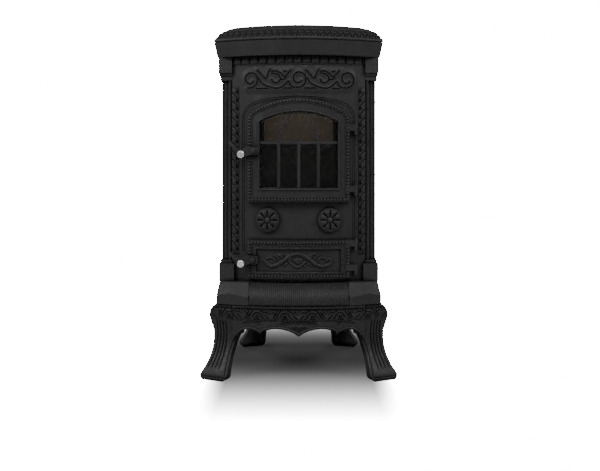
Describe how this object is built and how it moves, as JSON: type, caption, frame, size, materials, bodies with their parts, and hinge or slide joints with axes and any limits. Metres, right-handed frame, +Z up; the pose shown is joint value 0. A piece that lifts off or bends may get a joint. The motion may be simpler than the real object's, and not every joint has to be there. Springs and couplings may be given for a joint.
{
  "type": "wood burning stove",
  "caption": "Free-standing cast-iron wood stove with a bowed front, arched glazed fire door, ash door and pan, rotary air vents, rear flue spigot and cabriole legs.",
  "frame": {"origin": "on the floor under the middle of the bounding box", "axes": "+Z up, front towards -Y, +X to the right of someone facing the stove"},
  "size_m": [0.5474, 0.4882, 1],
  "materials": {
    "cast_iron": "matte black stove paint over sand-cast grain",
    "polished_steel": "turned and polished",
    "plain_steel": "blackened",
    "sheet_steel": "satin",
    "fire_brick": "dry, porous",
    "glass": "clear ceramic glass",
    "seal_rope": "woven glass rope"
  },
  "bodies": {
    "root": {"leg_front_left": "cast_iron", "leg_front_right": "cast_iron", "leg_rear_left": "cast_iron", "leg_rear_right": "cast_iron", "apron_front": "cast_iron", "apron_right": "cast_iron", "apron_left": "cast_iron", "apron_rear": "cast_iron", "hearth_plinth": "cast_iron", "ash_lip": "cast_iron", "base_plate": "cast_iron", "front_frame": "cast_iron", "post_right": "cast_iron", "post_left": "cast_iron", "side_panel_right": "cast_iron", "side_panel_left": "cast_iron", "back_panel": "cast_iron", "flue_collar": "cast_iron", "cornice": "cast_iron", "inner_top": "cast_iron", "top_plate": "cast_iron", "grate_frame": "cast_iron", "grate": "cast_iron", "fire_brick_right": "fire_brick", "fire_brick_left": "fire_brick", "fire_brick_back": "fire_brick", "baffle_plate": "cast_iron", "log_guard": "cast_iron", "tie_rod_front_right": "plain_steel", "tie_rod_front_left": "plain_steel", "tie_rod_rear_right": "plain_steel", "tie_rod_rear_left": "plain_steel", "catch_stud_fire": "polished_steel", "catch_stud_ash": "polished_steel", "hinge_pin_fire_upper": "plain_steel", "hinge_pin_fire_lower": "plain_steel", "hinge_pin_ash_upper": "plain_steel", "hinge_pin_ash_lower": "plain_steel", "rosette_stud_left": "cast_iron", "rosette_stud_right": "cast_iron"},
    "fire_door": {"fire_door": "cast_iron", "door_glass": "glass", "glass_retainer": "sheet_steel", "fire_door_gasket": "seal_rope", "fire_latch_pin": "cast_iron"},
    "fire_latch": {"fire_latch": "cast_iron"},
    "ash_door": {"ash_door": "cast_iron", "ash_door_gasket": "seal_rope", "ash_latch_pin": "cast_iron"},
    "ash_latch": {"ash_latch": "cast_iron"},
    "ash_pan": {"ash_pan": "sheet_steel", "ash_pan_handle": "sheet_steel"},
    "air_rosette_left": {"air_rosette_left": "cast_iron"},
    "air_rosette_right": {"air_rosette_right": "cast_iron"}
  },
  "joints": [
    {"name": "fire_door_hinge", "type": "hinge", "parent": "root", "child": "fire_door", "pos_m": [0.161, -0.164, 0.607], "axis": [0, 0, 1], "range_deg": [0, 150]},
    {"name": "fire_latch_lift", "type": "hinge", "parent": "fire_door", "child": "fire_latch", "pos_m": [-0.126, -0.181, 0.631], "axis": [0.2756, 0.9613, 0], "range_deg": [0, 60]},
    {"name": "ash_door_hinge", "type": "hinge", "parent": "root", "child": "ash_door", "pos_m": [0.161, -0.164, 0.33], "axis": [0, 0, 1], "range_deg": [0, 150]},
    {"name": "ash_latch_lift", "type": "hinge", "parent": "ash_door", "child": "ash_latch", "pos_m": [-0.128, -0.181, 0.325], "axis": [0.2756, 0.9613, 0], "range_deg": [0, 60]},
    {"name": "ash_pan_slide", "type": "slide", "parent": "root", "child": "ash_pan", "axis": [0, -1, 0], "range_m": [0, 0.202]},
    {"name": "air_rosette_left_turn", "type": "hinge", "parent": "root", "child": "air_rosette_left", "pos_m": [-0.08728, -0.17195, 0.437], "axis": [-0.174, -0.9847, 0], "range_deg": [0, 22.5]},
    {"name": "air_rosette_right_turn", "type": "hinge", "parent": "root", "child": "air_rosette_right", "pos_m": [0.08728, -0.17195, 0.437], "axis": [0.174, -0.9847, 0], "range_deg": [0, 22.5]}
  ],
  "couplings": [
    {"joint": "ash_pan_slide", "follows": "ash_door_hinge", "m_per_rad": 0.077}
  ]
}
